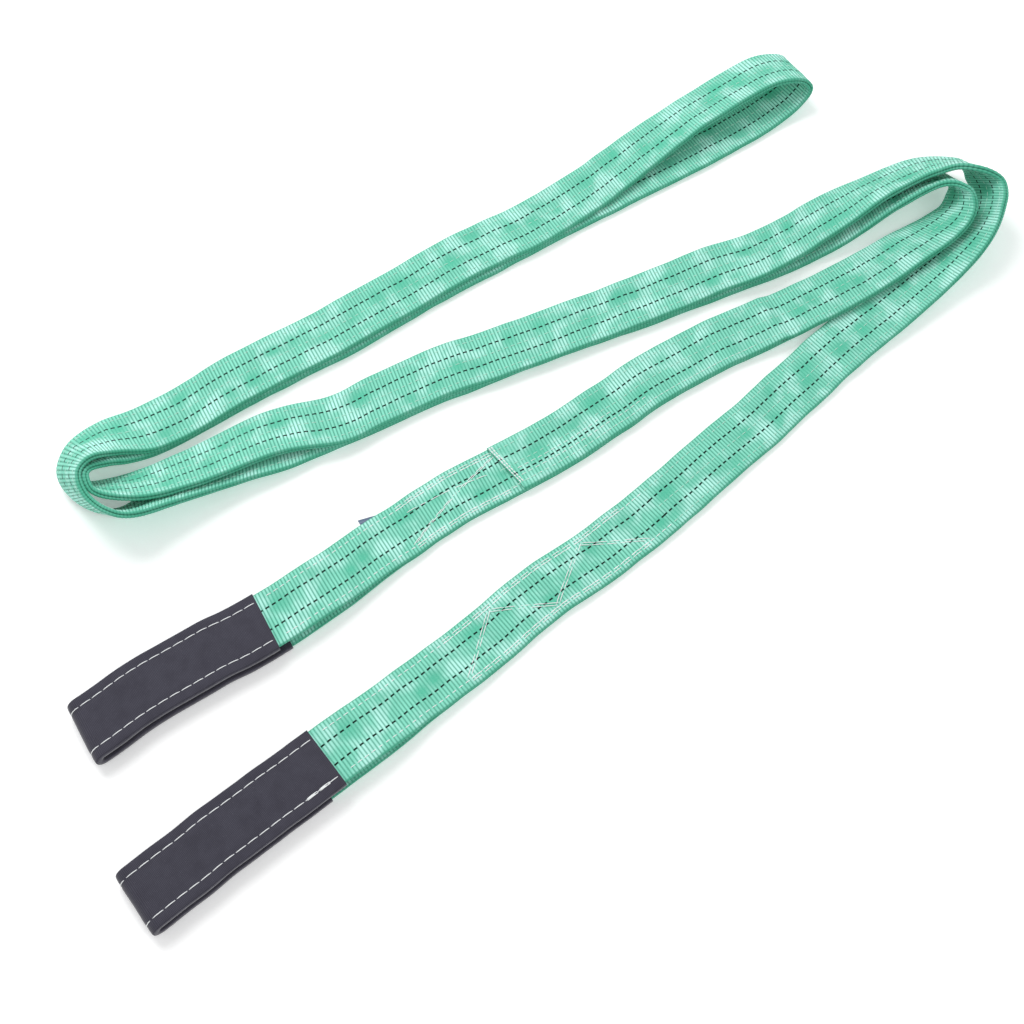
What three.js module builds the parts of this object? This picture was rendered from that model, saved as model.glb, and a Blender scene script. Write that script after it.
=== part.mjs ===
// Two-ply flat web sling with a sleeved eye at each end, folded in half and laid out in an S.
// Millimetres, +Z up. X runs along the long passes, Y across them. The floor is z = 0.
import * as THREE from 'three';

// Driving sizes
const WEB_WIDTH = 58;          // one ply of 60 mm class polyester webbing, relaxed
const PLY = 2.6;               // thickness of one ply
const GAP = 0.3;               // clearance kept between touching pieces
const LINING = 1.2;            // thin wear lining inside each eye
const SLEEVE_WIDTH = 61;
const SLEEVE_WALL = 0.8;
const SLEEVE_INNER_WIDTH = WEB_WIDTH + 2 * GAP;
const THREAD_WIDTH = 1.2;
const THREAD_HEIGHT = 0.5;

// Derived distances from the middle of the two-ply stack
const PLY_OFFSET = (PLY + GAP) / 2;
const THREAD_OFFSET = PLY_OFFSET + PLY / 2 + GAP + THREAD_HEIGHT / 2;

// Eye: half the distance between the middles of its two legs
const EYE_HALF_HEIGHT = 7.1;
const EYE_CLOSING_START = 206; // distance from the tip at which the legs start to close up
const THROAT_A = 350;          // distance along the sling from tip A to its throat
const THROAT_B = 320;          // the same from tip B
const SLEEVE_A = { upper: 178, lower: 190 };   // how far each sleeve reaches along each leg
const SLEEVE_B = { upper: 188, lower: 172 };
const LAP_START = 445;         // distance from tip A at which the lapped webbing end is cut
const LAP_END = 788;           // and where the lapped webbing drops back into the face ply

// Colours
const WEB_GREEN = 0x80cfb6;
const SLEEVE_GREY = 0x48474f;
const THREAD_WHITE = 0xe6efe9;
const LABEL_BLUE = 0x5a5f9c;

// The sling's path, chosen point by point: x, y, z of the middle of the stack, then the
// direction across the strap from its far edge to its near edge, as a compass angle in the
// floor plane (degrees from +X) and a lift above that plane.
const STRAND_A = [
  [-419, -319.5, 9.5, -57, 0],
  [-352, -268, 9.5, -58, 0],
  [-270, -218, 9.5, -61, 0],
  [-212, -172.5, 8.4, -58, 0],
  [-162, -128.5, 5, -58, 0],
  [-118, -94, 3.8, -60, 0],
  [-66, -60, 3.2, -63, 0],
  [0, -19, 3.2, -60, 0],
  [57, 24, 3.2, -58, 0],
  [120, 70, 3.2, -62, 0],
  [180, 104, 4, -66, 0],
  [245, 136, 7, -68, 6],
  [304, 169, 8.5, -66, 9],
  [350, 199, 11, -61, 15],
];
const RIGHT_BEND_A = [
  [390, 225, 15, -56, 24],
  [411, 240, 19, -56, 32],
  [423, 251, 25, -61, 41],
  [427, 263, 31, -70, 46],
  [426, 275, 34, -86, 46],
  [415, 288, 30, -101, 40],
  [392, 290, 22, -95, 32],
  [350, 275, 15, -86, 20],
  [300, 248, 7, -76, 7],
];
const MIDDLE_PASS_A = [
  [240, 217, 3.4, -70, 1],
  [165, 183, 3, -70, 0],
  [90, 149.5, 3, -68, 0],
  [20, 120, 3, -70, 0],
  [-60, 83.5, 3, -70, 0],
  [-130, 51, 3, -72, 0],
  [-200, 13, 3.6, -74, 1],
  [-263, -21.5, 6, -74, 5],
  [-330, -57, 12, -78, 18],
  [-378, -87, 19, -73, 34],
  [-410, -110, 25, -60, 51],
];
const LEFT_BEND_A = [
  [-432, -110, 27, -51, 56],
  [-452, -99, 29, -42, 54],
  [-465, -83, 33, -36, 48],
  [-467, -68, 36, -37, 43],
  [-458, -49, 35, -45, 33],
  [-438, -28, 22, -55, 19],
];
const UPPER_PASS_A = [
  [-402, -10, 12, -59, 5],
  [-345, 32, 9.4, -62, 0],
  [-283, 75, 9.2, -62, 0],
  [-221, 115, 9.2, -60, 0],
  [-155, 163, 9.2, -60, 0],
  [-94, 206, 9.2, -58, 0],
  [-27, 247, 9.2, -58, 0],
  [36, 294.5, 9.4, -60, 1],
  [88, 341, 12.5, -60, 5],
  [140, 383, 19, -60, 13],
  [194, 422, 26, -60, 14],
  [230, 440, 33, -65, 13],
  [260, 445, 33.5, -66, 13],
];
const FOLD_TIP = [[272, 446, 22, -64, 10]];
const UPPER_PASS_B = [
  [258, 434, 10.5, -58, 5],
  [236, 417, 5, -58, 1],
  [200, 390, 3, -60, 0],
  [150, 356, 3, -58, 0],
  [100, 325, 3, -57, 0],
  [40, 287, 3, -58, 0],
  [-27, 246, 3, -58, 0],
  [-94, 202, 3, -58, 0],
  [-155, 160, 3, -60, 0],
  [-221, 112, 3, -60, 0],
  [-283, 73, 3, -62, 0],
  [-345, 33, 3.2, -62, 0],
  [-398, -6, 4.6, -59, 3],
];
const LEFT_BEND_B = [
  [-429, -29, 12, -56, 14],
  [-447, -45, 21, -48, 27],
  [-460, -63, 29, -40, 41],
  [-459, -77, 31, -40, 48],
  [-447, -87, 29, -56, 48],
  [-427, -87, 27, -62, 41],
];
const MIDDLE_PASS_B = [
  [-400, -80, 24, -63, 32],
  [-360, -63, 20, -65, 24],
  [-283, -19, 14, -68, 12],
  [-222, -1, 12, -70, 4],
  [-180, 25, 10.2, -70, 1],
  [-113, 60, 9.3, -70, 0],
  [-67, 78, 9.2, -70, 0],
  [2, 109, 9.2, -70, 0],
  [72, 141, 9.2, -70, 0],
  [150, 178, 10.2, -70, -1],
  [213, 204, 13, -72, 5],
  [290, 254, 16, -74, 12],
];
const RIGHT_BEND_B = [
  [340, 283, 23, -75, 28],
  [378, 301, 27, -86, 30],
  [405, 306, 31, -98, 34],
  [428, 303, 38, -105, 41],
  [443, 295, 39, -82, 46],
  [453, 286, 36, -61, 44],
  [457, 272, 33, -62, 45],
  [455, 255, 29, -66, 47],
  [445, 234, 25, -62, 42],
  [426, 212, 20, -60, 31],
  [394, 184, 12, -58, 18],
];
const STRAND_B = [
  [350, 146, 7.5, -54, 8],
  [295, 100, 4.2, -52, 2],
  [240, 46, 3, -50, 0],
  [185, -6, 3, -50, 0],
  [130, -58.5, 3, -50, 0],
  [80, -105, 3, -50, 0],
  [28, -148, 3, -53, 0],
  [-24, -186.5, 3, -52, 0],
  [-75, -233, 3.4, -51, 0],
  [-118, -271, 5, -52, 1],
  [-160, -306, 8.5, -53, 2],
  [-209, -347, 9.5, -52, 0],
  [-290, -412, 9.5, -52, 0],
  [-354.5, -467, 9.5, -52, 0],
];
const ROUTE = [
  ...STRAND_A, ...RIGHT_BEND_A, ...MIDDLE_PASS_A, ...LEFT_BEND_A, ...UPPER_PASS_A, ...FOLD_TIP,
  ...UPPER_PASS_B, ...LEFT_BEND_B, ...MIDDLE_PASS_B, ...RIGHT_BEND_B, ...STRAND_B,
];
const STEPS_PER_SPAN = 8;

// A smooth curve through the route points (uniform Catmull-Rom on all five numbers).
function smoothRoute(points, stepsPerSpan) {
  const last = points.length - 1;
  const before = points[0].map((v, k) => 2 * v - points[1][k]);
  const after = points[last].map((v, k) => 2 * v - points[last - 1][k]);
  const padded = [before, ...points, after];
  const rows = [];
  for (let i = 1; i <= last; i += 1) {
    for (let step = 0; step < stepsPerSpan; step += 1) {
      const t = step / stepsPerSpan;
      rows.push(points[0].map((_, k) => {
        const [a, b, c, d] = [padded[i - 1][k], padded[i][k], padded[i + 1][k], padded[i + 2][k]];
        const square = 2 * a - 5 * b + 4 * c - d;
        const cube = -a + 3 * b - 3 * c + d;
        return 0.5 * (2 * b + (c - a) * t + square * t * t + cube * t * t * t);
      }));
    }
  }
  rows.push(points[last]);
  return rows;
}

// Turns the smooth rows into stations: middle point, along, across, face normal, distance.
function buildStations(rows) {
  const points = rows.map(([x, y, z]) => new THREE.Vector3(x, y, z));
  let distance = 0;
  return rows.map((row, i) => {
    const previous = points[Math.max(i - 1, 0)];
    const next = points[Math.min(i + 1, points.length - 1)];
    const along = next.clone().sub(previous).normalize();
    const side = THREE.MathUtils.degToRad(row[3]);
    const lift = THREE.MathUtils.degToRad(row[4]);
    const across = new THREE.Vector3(
      Math.cos(side) * Math.cos(lift), Math.sin(side) * Math.cos(lift), Math.sin(lift));
    const face = across.clone().cross(along).normalize();
    if (i > 0) distance += points[i].distanceTo(points[i - 1]);
    return { point: points[i], along, across, face, distance };
  });
}

const STATIONS = buildStations(smoothRoute(ROUTE, STEPS_PER_SPAN));
const TOTAL = STATIONS[STATIONS.length - 1].distance;

// The station at any distance from tip A.
function stationAt(distance) {
  let i = 1;
  while (i < STATIONS.length - 1 && STATIONS[i].distance < distance) i += 1;
  const a = STATIONS[i - 1];
  const b = STATIONS[i];
  const t = (distance - a.distance) / (b.distance - a.distance);
  return {
    point: a.point.clone().lerp(b.point, t),
    along: a.along.clone().lerp(b.along, t).normalize(),
    across: a.across.clone().lerp(b.across, t).normalize(),
    face: a.face.clone().lerp(b.face, t).normalize(),
    distance,
  };
}

// Distance along the sling of one numbered route point.
function distanceOfRoutePoint(index) {
  return STATIONS[index * STEPS_PER_SPAN].distance;
}

const LONGEST_STEP = 60;
const LARGEST_TURN = THREE.MathUtils.degToRad(12);

// Stations from one distance to another: few where the strap is straight, many where it turns.
function stretch(from, to, longestStep = LONGEST_STEP) {
  const kept = [stationAt(from)];
  for (const station of STATIONS) {
    if (station.distance <= from + 2 || station.distance >= to - 2) continue;
    const last = kept[kept.length - 1];
    const turn = Math.max(
      station.along.angleTo(last.along), station.across.angleTo(last.across),
      station.face.angleTo(last.face));
    const isFar = station.distance - last.distance > longestStep;
    if (turn > LARGEST_TURN || isFar) kept.push(station);
  }
  kept.push(stationAt(to));
  return kept;
}

function addQuad(positions, a, b, c, d) {
  positions.push(...a.toArray(), ...b.toArray(), ...c.toArray());
  positions.push(...a.toArray(), ...c.toArray(), ...d.toArray());
}

// A wide patch is split into four triangles around its middle, so that the facing sides of two
// plies keep the same shape where the strap twists.
function addPatch(positions, a, b, c, d) {
  const middle = a.clone().add(b).add(c).add(d).multiplyScalar(0.25);
  for (const [from, to] of [[a, b], [b, c], [c, d], [d, a]]) {
    positions.push(...from.toArray(), ...to.toArray(), ...middle.toArray());
  }
}

function closedGeometry(positions) {
  const geometry = new THREE.BufferGeometry();
  geometry.setAttribute('position', new THREE.Float32BufferAttribute(positions, 3));
  geometry.computeVertexNormals();
  return geometry;
}

// Four corners of a rectangular section at a station.
function sectionCorners(station, width, thickness, offset, shift = 0) {
  const middle = station.point.clone()
    .addScaledVector(station.face, offset).addScaledVector(station.across, shift);
  const corner = (u, v) => middle.clone()
    .addScaledVector(station.across, u * width / 2).addScaledVector(station.face, v * thickness / 2);
  return [corner(-1, -1), corner(1, -1), corner(1, 1), corner(-1, 1)];
}

// A solid strip: a rectangular section carried along the stations, closed at both ends.
function strip(stations, width, thickness, offset, shift = 0) {
  const positions = [];
  const rings = stations.map((s) => sectionCorners(s, width, thickness, offset, shift));
  for (let i = 1; i < rings.length; i += 1) {
    const back = rings[i - 1];
    const front = rings[i];
    for (let k = 0; k < 4; k += 1) {
      const next = (k + 1) % 4;
      const addSide = k % 2 === 0 ? addPatch : addQuad;
      addSide(positions, back[k], front[k], front[next], back[next]);
    }
  }
  const start = rings[0];
  const end = rings[rings.length - 1];
  addQuad(positions, start[0], start[1], start[2], start[3]);
  addQuad(positions, end[3], end[2], end[1], end[0]);
  return closedGeometry(positions);
}

// A flat tube open at both ends: an outer and an inner rectangular section joined at the rims.
function flatTube(stations, outerWidth, outerThickness, innerWidth, innerThickness, offset) {
  const positions = [];
  const outer = stations.map((s) => sectionCorners(s, outerWidth, outerThickness, offset));
  const inner = stations.map((s) => sectionCorners(s, innerWidth, innerThickness, offset));
  const last = stations.length - 1;
  for (let k = 0; k < 4; k += 1) {
    const next = (k + 1) % 4;
    for (let i = 1; i <= last; i += 1) {
      addQuad(positions, outer[i - 1][k], outer[i][k], outer[i][next], outer[i - 1][next]);
      addQuad(positions, inner[i - 1][next], inner[i][next], inner[i][k], inner[i - 1][k]);
    }
    addQuad(positions, outer[0][k], outer[0][next], inner[0][next], inner[0][k]);
    addQuad(positions, inner[last][k], inner[last][next], outer[last][next], outer[last][k]);
  }
  return closedGeometry(positions);
}

// The eye at one end. Its loop runs out along the upper leg, round the end and back along the
// lower leg. Reach is the distance from the tip at which each leg stops.
function eyeHalfHeight(fromTip, throat) {
  if (fromTip < EYE_CLOSING_START) return EYE_HALF_HEIGHT;
  const closing = Math.min(1, (fromTip - EYE_CLOSING_START) / (throat - EYE_CLOSING_START));
  const eased = closing * closing * (3 - 2 * closing);
  return EYE_HALF_HEIGHT + (PLY_OFFSET - EYE_HALF_HEIGHT) * eased;
}

const LEG_STEP = 28;
function eyeLoop(end, upperReach, lowerReach) {
  const throat = end === 'a' ? THROAT_A : THROAT_B;
  const up = end === 'a' ? 1 : -1;
  const place = (fromTip) => stationAt(end === 'a' ? fromTip : TOTAL - fromTip);
  const leg = (fromTip, side) => {
    const base = place(fromTip);
    const outward = base.face.clone().multiplyScalar(up * side);
    const point = base.point.clone().addScaledVector(outward, eyeHalfHeight(fromTip, throat));
    return { point, across: base.across.clone().negate(), face: outward };
  };
  const legDistances = (reach) => {
    const count = Math.max(2, Math.round(reach / LEG_STEP));
    return Array.from({ length: count + 1 }, (_, k) => reach * k / count);
  };
  const loop = legDistances(upperReach).reverse().map((d) => leg(d, 1));
  const tip = place(0);
  const outwardAlong = tip.along.clone().multiplyScalar(-up);
  const upward = tip.face.clone().multiplyScalar(up);
  const turnSteps = 8;
  for (let k = 1; k < turnSteps; k += 1) {
    const angle = Math.PI * k / turnSteps;
    const face = upward.clone().multiplyScalar(Math.cos(angle))
      .addScaledVector(outwardAlong, Math.sin(angle));
    const point = tip.point.clone().addScaledVector(face, EYE_HALF_HEIGHT);
    loop.push({ point, across: tip.across.clone().negate(), face });
  }
  loop.push(...legDistances(lowerReach).map((d) => leg(d, -1)));
  return loop;
}

// Stitching that runs to and fro across the strap: corners given as [distance, shift].
function zigzagSeam(corners, offset) {
  const stations = [];
  for (let i = 1; i < corners.length; i += 1) {
    const [fromDistance, fromShift] = corners[i - 1];
    const [toDistance, toShift] = corners[i];
    const steps = 2;
    for (let k = i === 1 ? 0 : 1; k <= steps; k += 1) {
      const t = k / steps;
      const base = stationAt(fromDistance + (toDistance - fromDistance) * t);
      const shift = fromShift + (toShift - fromShift) * t;
      const point = base.point.clone().addScaledVector(base.across, shift);
      stations.push({ point, face: base.face });
    }
  }
  stations.forEach((station, i) => {
    const previous = stations[Math.max(i - 1, 0)].point;
    const next = stations[Math.min(i + 1, stations.length - 1)].point;
    const travel = next.clone().sub(previous).normalize();
    station.across = travel.cross(station.face).normalize();
  });
  return strip(stations, THREAD_WIDTH, THREAD_HEIGHT, offset);
}

// The origin sits on the floor under the middle of the laid-out sling.
const ORIGIN_SHIFT = new THREE.Vector3(8.6, 11.7, 0.07);
const group = new THREE.Group();
group.position.copy(ORIGIN_SHIFT);

function addPiece(name, geometry, color, roughness) {
  const material = new THREE.MeshStandardMaterial({ color, roughness, metalness: 0 });
  const piece = new THREE.Mesh(geometry, material);
  piece.name = name;
  group.add(piece);
}

const addWeb = (name, geometry) => addPiece(name, geometry, WEB_GREEN, 0.75);
const addThread = (name, geometry) => addPiece(name, geometry, THREAD_WHITE, 0.6);

// The body of the sling: two plies, cut where the strap passes from one lie to the next.
const CUT_GAP = GAP;
const bodyCuts = [
  THROAT_A,
  ...[12, 23, 31, 41, 48, 58, 65, 75, 84, 96].map(distanceOfRoutePoint),
  TOTAL - THROAT_B,
];
const bodyNames = [
  'strand_a', 'right_bend_a', 'middle_pass_a', 'left_bend_a', 'upper_pass_a', 'mid_fold',
  'upper_pass_b', 'left_bend_b', 'middle_pass_b', 'right_bend_b', 'strand_b',
];
bodyNames.forEach((name, k) => {
  const stations = stretch(bodyCuts[k] + CUT_GAP / 2, bodyCuts[k + 1] - CUT_GAP / 2);
  addWeb(`${name}_face_ply`, strip(stations, WEB_WIDTH, PLY, PLY_OFFSET));
  addWeb(`${name}_back_ply`, strip(stations, WEB_WIDTH, PLY, -PLY_OFFSET));
});

// Each eye: the webbing loop, its thin lining, and a flat fabric sleeve around the far end.
const EYE_CUT = CUT_GAP / 2;
const LINING_OFFSET = -(PLY / 2 + GAP + LINING / 2);
const SLEEVE_OUTER = PLY + LINING + 3 * GAP + 2 * SLEEVE_WALL;
const SLEEVE_HOLLOW = PLY + LINING + 3 * GAP;
const SLEEVE_OFFSET = -(LINING + GAP) / 2;
function addEye(end, throat, sleeveUpper, sleeveLower) {
  const web = eyeLoop(end, throat - EYE_CUT, throat - EYE_CUT);
  addWeb(`eye_${end}_web`, strip(web, WEB_WIDTH, PLY, 0));
  const liningReach = throat - 150;
  const lining = eyeLoop(end, liningReach, liningReach);
  addWeb(`eye_${end}_lining`, strip(lining, WEB_WIDTH - 2, LINING, LINING_OFFSET));
  const sleeve = eyeLoop(end, sleeveUpper, sleeveLower);
  addPiece(`eye_${end}_sleeve`, flatTube(
    sleeve, SLEEVE_WIDTH, SLEEVE_OUTER, SLEEVE_INNER_WIDTH, SLEEVE_HOLLOW, SLEEVE_OFFSET,
  ), SLEEVE_GREY, 0.9);
}
addEye('a', THROAT_A, SLEEVE_A.upper, SLEEVE_A.lower);
addEye('b', THROAT_B, SLEEVE_B.upper, SLEEVE_B.lower);

// Stitching rows on the upper leg of each sleeve.
const SLEEVE_THREAD_OFFSET = SLEEVE_OFFSET + SLEEVE_OUTER / 2 + GAP + THREAD_HEIGHT / 2;
const SLEEVE_ROW_SHIFT = SLEEVE_WIDTH / 2 - 9;
function addSleeveSeams(end, sleeveUpper) {
  const loop = eyeLoop(end, sleeveUpper - 3, 40);
  const upperLeg = loop.slice(0, Math.round(sleeveUpper / LEG_STEP) + 1);
  for (const [row, shift] of [['near', -SLEEVE_ROW_SHIFT], ['far', SLEEVE_ROW_SHIFT]]) {
    addThread(`eye_${end}_sleeve_seam_${row}`,
      strip(upperLeg, THREAD_WIDTH, THREAD_HEIGHT, SLEEVE_THREAD_OFFSET, shift));
  }
}
addSleeveSeams('a', SLEEVE_A.upper);
addSleeveSeams('b', SLEEVE_B.upper);

// The end of the webbing, lapped over the face ply beyond eye A and stitched down.
const LAP_OFFSET = PLY_OFFSET + PLY + 2 * GAP;
const LAP_THREAD_OFFSET = THREAD_OFFSET + PLY + 2 * GAP;
addWeb('lap_ply', strip(stretch(LAP_START, LAP_END), WEB_WIDTH, PLY, LAP_OFFSET));

// A zigzag whose corners swing from one edge row to the other.
function zigzagCorners(from, to, turns, reach) {
  return Array.from({ length: turns + 1 }, (_, k) => [
    from + (to - from) * k / turns,
    k % 2 === 0 ? -reach : reach,
  ]);
}
addThread('splice_stitch_a',
  zigzagSeam(zigzagCorners(THROAT_A + 12, LAP_START - 12, 5, 20), THREAD_OFFSET));
addThread('lap_end_stitch',
  strip(stretch(LAP_START + 3, LAP_START + 8), 50, THREAD_HEIGHT, LAP_THREAD_OFFSET));
addThread('splice_stitch_b',
  zigzagSeam(zigzagCorners(TOTAL - 530, TOTAL - THROAT_B - 15, 7, 20), -THREAD_OFFSET));

// The identification label, held between the two legs of eye A just before its throat, with its
// far side standing out a little past the strap's far edge.
const LABEL = { start: 302, length: 26, width: 50, thickness: 0.5, shift: -8 };
addPiece('label', strip(
  stretch(LABEL.start, LABEL.start + LABEL.length),
  LABEL.width, LABEL.thickness, 0, LABEL.shift,
), LABEL_BLUE, 0.5);

export default group;
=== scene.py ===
"""A two-ply flat web sling, folded in half and laid out in an S, with a sleeved eye at each end.

All lengths are metres. A ribbon is the line that one layer of cloth follows: at any distance
along it there is a middle point, a direction across the cloth and a direction out of its show
face. Every piece of cloth and every row of stitches is laid on a ribbon.
"""

import math

import bpy
import numpy as np
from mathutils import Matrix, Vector


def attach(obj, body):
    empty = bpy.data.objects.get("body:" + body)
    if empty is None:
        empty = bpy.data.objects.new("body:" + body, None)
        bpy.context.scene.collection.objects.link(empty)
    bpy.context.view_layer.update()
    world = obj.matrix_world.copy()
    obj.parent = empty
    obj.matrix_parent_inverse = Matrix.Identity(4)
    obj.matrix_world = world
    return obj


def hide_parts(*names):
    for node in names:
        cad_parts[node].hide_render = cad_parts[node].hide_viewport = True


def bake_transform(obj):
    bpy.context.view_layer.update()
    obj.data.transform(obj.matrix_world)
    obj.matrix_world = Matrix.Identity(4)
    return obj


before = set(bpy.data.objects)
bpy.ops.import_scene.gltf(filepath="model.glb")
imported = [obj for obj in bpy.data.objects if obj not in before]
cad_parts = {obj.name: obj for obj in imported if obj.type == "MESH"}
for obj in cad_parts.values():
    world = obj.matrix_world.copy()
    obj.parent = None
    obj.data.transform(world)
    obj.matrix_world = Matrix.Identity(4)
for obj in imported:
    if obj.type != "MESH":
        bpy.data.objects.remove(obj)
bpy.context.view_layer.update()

# ---------------------------------------------------------------- driving sizes
WEB_WIDTH = 0.058
PLY = 0.0026
GAP = 0.0003
PLY_OFFSET = (PLY + GAP) / 2          # from the middle of the stack to the middle of a ply
LAP_OFFSET = PLY_OFFSET + PLY + 2 * GAP
THROAT = {"a": 0.350, "b": 0.320}     # from each eye's tip to its throat
EYE_HALF_HEIGHT = 0.0071
EYE_CLOSING_START = 0.206
SLEEVE_REACH = {"a": (0.178, 0.190), "b": (0.188, 0.172)}   # along the upper and lower leg
SLEEVE_WIDTH = 0.061
LINING = 0.0012
LAP_START = 0.445                      # the webbing's cut end, on top of the strap
LAP_END = 0.788                        # where the lapped webbing drops back into the face ply
LAP_DROP = 0.014                       # the length over which it drops
LAP_SLANT = 0.013                      # how much further along the cut end lies at its near edge
END_LENGTH = {"a": 0.560, "b": 0.580}  # the length of strap that is made together with each eye

RIB_PITCH = 0.00345
RIB_RELIEF = 0.00042
ROWS_PER_RIB = 6
STITCH_ROW_SIDE = 0.0215               # from the middle to the row of stitches near each edge

# ---------------------------------------------------------------- the route
# x, y, z of the middle of the stack, then the direction across the strap from its far edge to
# its near edge: a compass angle in the floor plane and a lift above it, in degrees.
STRAND_A = [
    (-0.419, -0.3195, 0.0095, -57, 0),
    (-0.352, -0.268, 0.0095, -58, 0),
    (-0.27, -0.218, 0.0095, -61, 0),
    (-0.212, -0.1725, 0.0084, -58, 0),
    (-0.162, -0.1285, 0.005, -58, 0),
    (-0.118, -0.094, 0.0038, -60, 0),
    (-0.066, -0.06, 0.0032, -63, 0),
    (0, -0.019, 0.0032, -60, 0),
    (0.057, 0.024, 0.0032, -58, 0),
    (0.12, 0.07, 0.0032, -62, 0),
    (0.18, 0.104, 0.004, -66, 0),
    (0.245, 0.136, 0.007, -68, 6),
    (0.304, 0.169, 0.0085, -66, 9),
    (0.35, 0.199, 0.011, -61, 15),
]
RIGHT_BEND_A = [
    (0.39, 0.225, 0.015, -56, 24),
    (0.411, 0.24, 0.019, -56, 32),
    (0.423, 0.251, 0.025, -61, 41),
    (0.427, 0.263, 0.031, -70, 46),
    (0.426, 0.275, 0.034, -86, 46),
    (0.415, 0.288, 0.03, -101, 40),
    (0.392, 0.29, 0.022, -95, 32),
    (0.35, 0.275, 0.015, -86, 20),
    (0.3, 0.248, 0.007, -76, 7),
]
MIDDLE_PASS_A = [
    (0.24, 0.217, 0.0034, -70, 1),
    (0.165, 0.183, 0.003, -70, 0),
    (0.09, 0.1495, 0.003, -68, 0),
    (0.02, 0.12, 0.003, -70, 0),
    (-0.06, 0.0835, 0.003, -70, 0),
    (-0.13, 0.051, 0.003, -72, 0),
    (-0.2, 0.013, 0.0036, -74, 1),
    (-0.263, -0.0215, 0.006, -74, 5),
    (-0.33, -0.057, 0.012, -78, 18),
    (-0.378, -0.087, 0.019, -73, 34),
    (-0.41, -0.11, 0.025, -60, 51),
]
LEFT_BEND_A = [
    (-0.432, -0.11, 0.027, -51, 56),
    (-0.452, -0.099, 0.029, -42, 54),
    (-0.465, -0.083, 0.033, -36, 48),
    (-0.467, -0.068, 0.036, -37, 43),
    (-0.458, -0.049, 0.035, -45, 33),
    (-0.438, -0.028, 0.022, -55, 19),
]
UPPER_PASS_A = [
    (-0.402, -0.01, 0.012, -59, 5),
    (-0.345, 0.032, 0.0094, -62, 0),
    (-0.283, 0.075, 0.0092, -62, 0),
    (-0.221, 0.115, 0.0092, -60, 0),
    (-0.155, 0.163, 0.0092, -60, 0),
    (-0.094, 0.206, 0.0092, -58, 0),
    (-0.027, 0.247, 0.0092, -58, 0),
    (0.036, 0.2945, 0.0094, -60, 1),
    (0.088, 0.341, 0.0125, -60, 5),
    (0.14, 0.383, 0.019, -60, 13),
    (0.194, 0.422, 0.026, -60, 14),
    (0.23, 0.44, 0.033, -65, 13),
    (0.26, 0.445, 0.0335, -66, 13),
]
FOLD_TIP = [
    (0.272, 0.446, 0.022, -64, 10),
]
UPPER_PASS_B = [
    (0.258, 0.434, 0.0105, -58, 5),
    (0.236, 0.417, 0.005, -58, 1),
    (0.2, 0.39, 0.003, -60, 0),
    (0.15, 0.356, 0.003, -58, 0),
    (0.1, 0.325, 0.003, -57, 0),
    (0.04, 0.287, 0.003, -58, 0),
    (-0.027, 0.246, 0.003, -58, 0),
    (-0.094, 0.202, 0.003, -58, 0),
    (-0.155, 0.16, 0.003, -60, 0),
    (-0.221, 0.112, 0.003, -60, 0),
    (-0.283, 0.073, 0.003, -62, 0),
    (-0.345, 0.033, 0.0032, -62, 0),
    (-0.398, -0.006, 0.0046, -59, 3),
]
LEFT_BEND_B = [
    (-0.429, -0.029, 0.012, -56, 14),
    (-0.447, -0.045, 0.021, -48, 27),
    (-0.46, -0.063, 0.029, -40, 41),
    (-0.459, -0.077, 0.031, -40, 48),
    (-0.447, -0.087, 0.029, -56, 48),
    (-0.427, -0.087, 0.027, -62, 41),
]
MIDDLE_PASS_B = [
    (-0.4, -0.08, 0.024, -63, 32),
    (-0.36, -0.063, 0.02, -65, 24),
    (-0.283, -0.019, 0.014, -68, 12),
    (-0.222, -0.001, 0.012, -70, 4),
    (-0.18, 0.025, 0.0102, -70, 1),
    (-0.113, 0.06, 0.0093, -70, 0),
    (-0.067, 0.078, 0.0092, -70, 0),
    (0.002, 0.109, 0.0092, -70, 0),
    (0.072, 0.141, 0.0092, -70, 0),
    (0.15, 0.178, 0.0102, -70, -1),
    (0.213, 0.204, 0.013, -72, 5),
    (0.29, 0.254, 0.016, -74, 12),
]
RIGHT_BEND_B = [
    (0.34, 0.283, 0.023, -75, 28),
    (0.378, 0.301, 0.027, -86, 30),
    (0.405, 0.306, 0.031, -98, 34),
    (0.428, 0.303, 0.038, -105, 41),
    (0.443, 0.295, 0.039, -82, 46),
    (0.453, 0.286, 0.036, -61, 44),
    (0.457, 0.272, 0.033, -62, 45),
    (0.455, 0.255, 0.029, -66, 47),
    (0.445, 0.234, 0.025, -62, 42),
    (0.426, 0.212, 0.02, -60, 31),
    (0.394, 0.184, 0.012, -58, 18),
]
STRAND_B = [
    (0.35, 0.146, 0.0075, -54, 8),
    (0.295, 0.1, 0.0042, -52, 2),
    (0.24, 0.046, 0.003, -50, 0),
    (0.185, -0.006, 0.003, -50, 0),
    (0.13, -0.0585, 0.003, -50, 0),
    (0.08, -0.105, 0.003, -50, 0),
    (0.028, -0.148, 0.003, -53, 0),
    (-0.024, -0.1865, 0.003, -52, 0),
    (-0.075, -0.233, 0.0034, -51, 0),
    (-0.118, -0.271, 0.005, -52, 1),
    (-0.16, -0.306, 0.0085, -53, 2),
    (-0.209, -0.347, 0.0095, -52, 0),
    (-0.29, -0.412, 0.0095, -52, 0),
    (-0.3545, -0.467, 0.0095, -52, 0),
]
ROUTE = [
    *STRAND_A, *RIGHT_BEND_A, *MIDDLE_PASS_A, *LEFT_BEND_A, *UPPER_PASS_A, *FOLD_TIP,
    *UPPER_PASS_B, *LEFT_BEND_B, *MIDDLE_PASS_B, *RIGHT_BEND_B, *STRAND_B,
]
ORIGIN_SHIFT = np.array([0.0086, 0.0117, 0.00007])
STEPS_PER_SPAN = 40
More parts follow.
